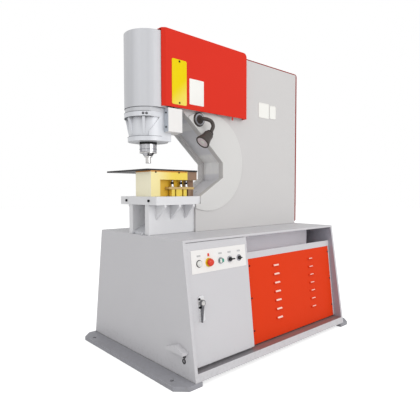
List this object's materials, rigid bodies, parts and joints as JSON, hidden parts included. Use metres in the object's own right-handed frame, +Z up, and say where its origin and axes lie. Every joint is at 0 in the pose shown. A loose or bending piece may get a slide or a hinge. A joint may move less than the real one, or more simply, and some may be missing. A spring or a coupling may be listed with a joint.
{
  "type": "hydraulic punching machine",
  "caption": "Floor-standing hydraulic punching machine: sloped steel cabinet with a door and louvred cover, C-frame with a vertical ram, die table, work lamp and folded covers.",
  "frame": {"origin": "on the floor under the middle of the cabinet", "axes": "+Z up, +X from the punching end towards the machine's rear, -Y towards the side with the door"},
  "size_m": [1.534, 1.014, 1.8],
  "materials": {
    "steel_grey": "satin grey paint",
    "base_paint": "silver grey paint with a fine orange peel",
    "frame_paint": "light silver grey paint",
    "red_paint": "satin red paint",
    "white_paint": "satin white paint",
    "yellow_paint": "gloss yellow paint",
    "dark_paint": "satin blue grey paint",
    "pump_casting": "cast and machined",
    "pipe_steel": "drawn tube",
    "bright_steel": "ground and polished",
    "tool_steel": "ground",
    "table_steel": "dark rolled plate",
    "fastener_black": "black oxide",
    "seal_rubber": "matt",
    "lamp_paint": "satin charcoal paint",
    "lamp_glass": "frosted",
    "button_black": "moulded",
    "button_red": "moulded",
    "collar_yellow": "moulded",
    "button_green": "moulded",
    "indicator_white": "moulded"
  },
  "bodies": {
    "frame": {"foot_plates": "steel_grey", "base_floor": "steel_grey", "oil_tank": "steel_grey", "component_plate": "steel_grey", "end_plate_front": "base_paint", "end_plate_rear": "base_paint", "base_top_plate": "base_paint", "sills": "base_paint", "panel_frame": "base_paint", "far_cover": "base_paint", "cabinet_box": "base_paint", "cable_hood": "base_paint", "side_plate_near": "frame_paint", "side_plate_far": "frame_paint", "throat_cheeks": "frame_paint", "throat_liner": "frame_paint", "frame_web": "frame_paint", "nose_housing": "frame_paint", "cylinder_barrel": "frame_paint", "cylinder_cover": "frame_paint", "arm_body": "frame_paint", "slug_chute": "frame_paint", "bolster": "frame_paint", "cover_brackets": "frame_paint", "louvred_cover": "red_paint", "upper_cover": "red_paint", "back_cover": "red_paint", "switch_box": "white_paint", "clamp_plate": "white_paint", "die_block": "yellow_paint", "die_clamp_bars": "yellow_paint", "motor": "dark_paint", "gear_pump": "pump_casting", "valve_block": "pump_casting", "oil_pipes": "pipe_steel", "door_hinges": "pipe_steel", "clamp_studs": "bright_steel", "die": "tool_steel", "table_plate": "table_steel", "cover_screws": "fastener_black", "frame_bolts": "fastener_black", "dust_seal": "seal_rubber", "lamp_base": "lamp_paint"},
    "ram": {"piston_rod": "bright_steel", "coupling_nut": "bright_steel", "punch": "tool_steel"},
    "door": {"door": "base_paint", "control_panel": "white_paint", "control_bezels": "bright_steel", "indicator_lamp": "indicator_white", "stop_collar": "collar_yellow", "handle_plate": "base_paint"},
    "stop_button": {"stop_button": "button_red"},
    "start_button": {"start_button": "button_green"},
    "lever_selector": {"lever_selector": "button_black"},
    "round_selector": {"round_selector": "button_black"},
    "door_handle": {"handle_lever": "button_black"},
    "lamp_neck": {"lamp_neck": "lamp_paint"},
    "lamp_head": {"lamp_head": "lamp_paint", "lamp_lens": "lamp_glass"}
  },
  "joints": [
    {"name": "ram_slide", "type": "slide", "parent": "frame", "child": "ram", "axis": [0, 0, -1], "range_m": [0, 0.05]},
    {"name": "door_hinge", "type": "hinge", "parent": "frame", "child": "door", "pos_m": [-0.222, -0.39206, 0.6749], "axis": [0, 0.1098, 0.994], "range_deg": [0, 105]},
    {"name": "stop_push", "type": "slide", "parent": "door", "child": "stop_button", "axis": [0, 0.994, -0.1098], "range_m": [0, 0.005], "stiffness_N_per_m": 400},
    {"name": "start_push", "type": "slide", "parent": "door", "child": "start_button", "axis": [0, 0.994, -0.1098], "range_m": [0, 0.004], "stiffness_N_per_m": 400},
    {"name": "lever_turn", "type": "hinge", "parent": "door", "child": "lever_selector", "pos_m": [-0.359, -0.41375, 0.56965], "axis": [0, -0.994, 0.1098], "range_deg": [-45, 45]},
    {"name": "selector_turn", "type": "hinge", "parent": "door", "child": "round_selector", "pos_m": [-0.288, -0.41375, 0.56965], "axis": [0, -0.994, 0.1098], "range_deg": [-45, 45]},
    {"name": "handle_turn", "type": "hinge", "parent": "door", "child": "door_handle", "pos_m": [-0.578, -0.43484, 0.37881], "axis": [0, -0.994, 0.1098], "range_deg": [0, 90]},
    {"name": "lamp_swivel", "type": "hinge", "parent": "frame", "child": "lamp_neck", "pos_m": [-0.315, -0.1383, 1.347], "axis": [0, -1, 0], "range_deg": [-25, 60]},
    {"name": "lamp_tilt", "type": "hinge", "parent": "lamp_neck", "child": "lamp_head", "pos_m": [-0.279, -0.1843, 1.273], "axis": [0, -1, 0], "range_deg": [-30, 30]}
  ]
}
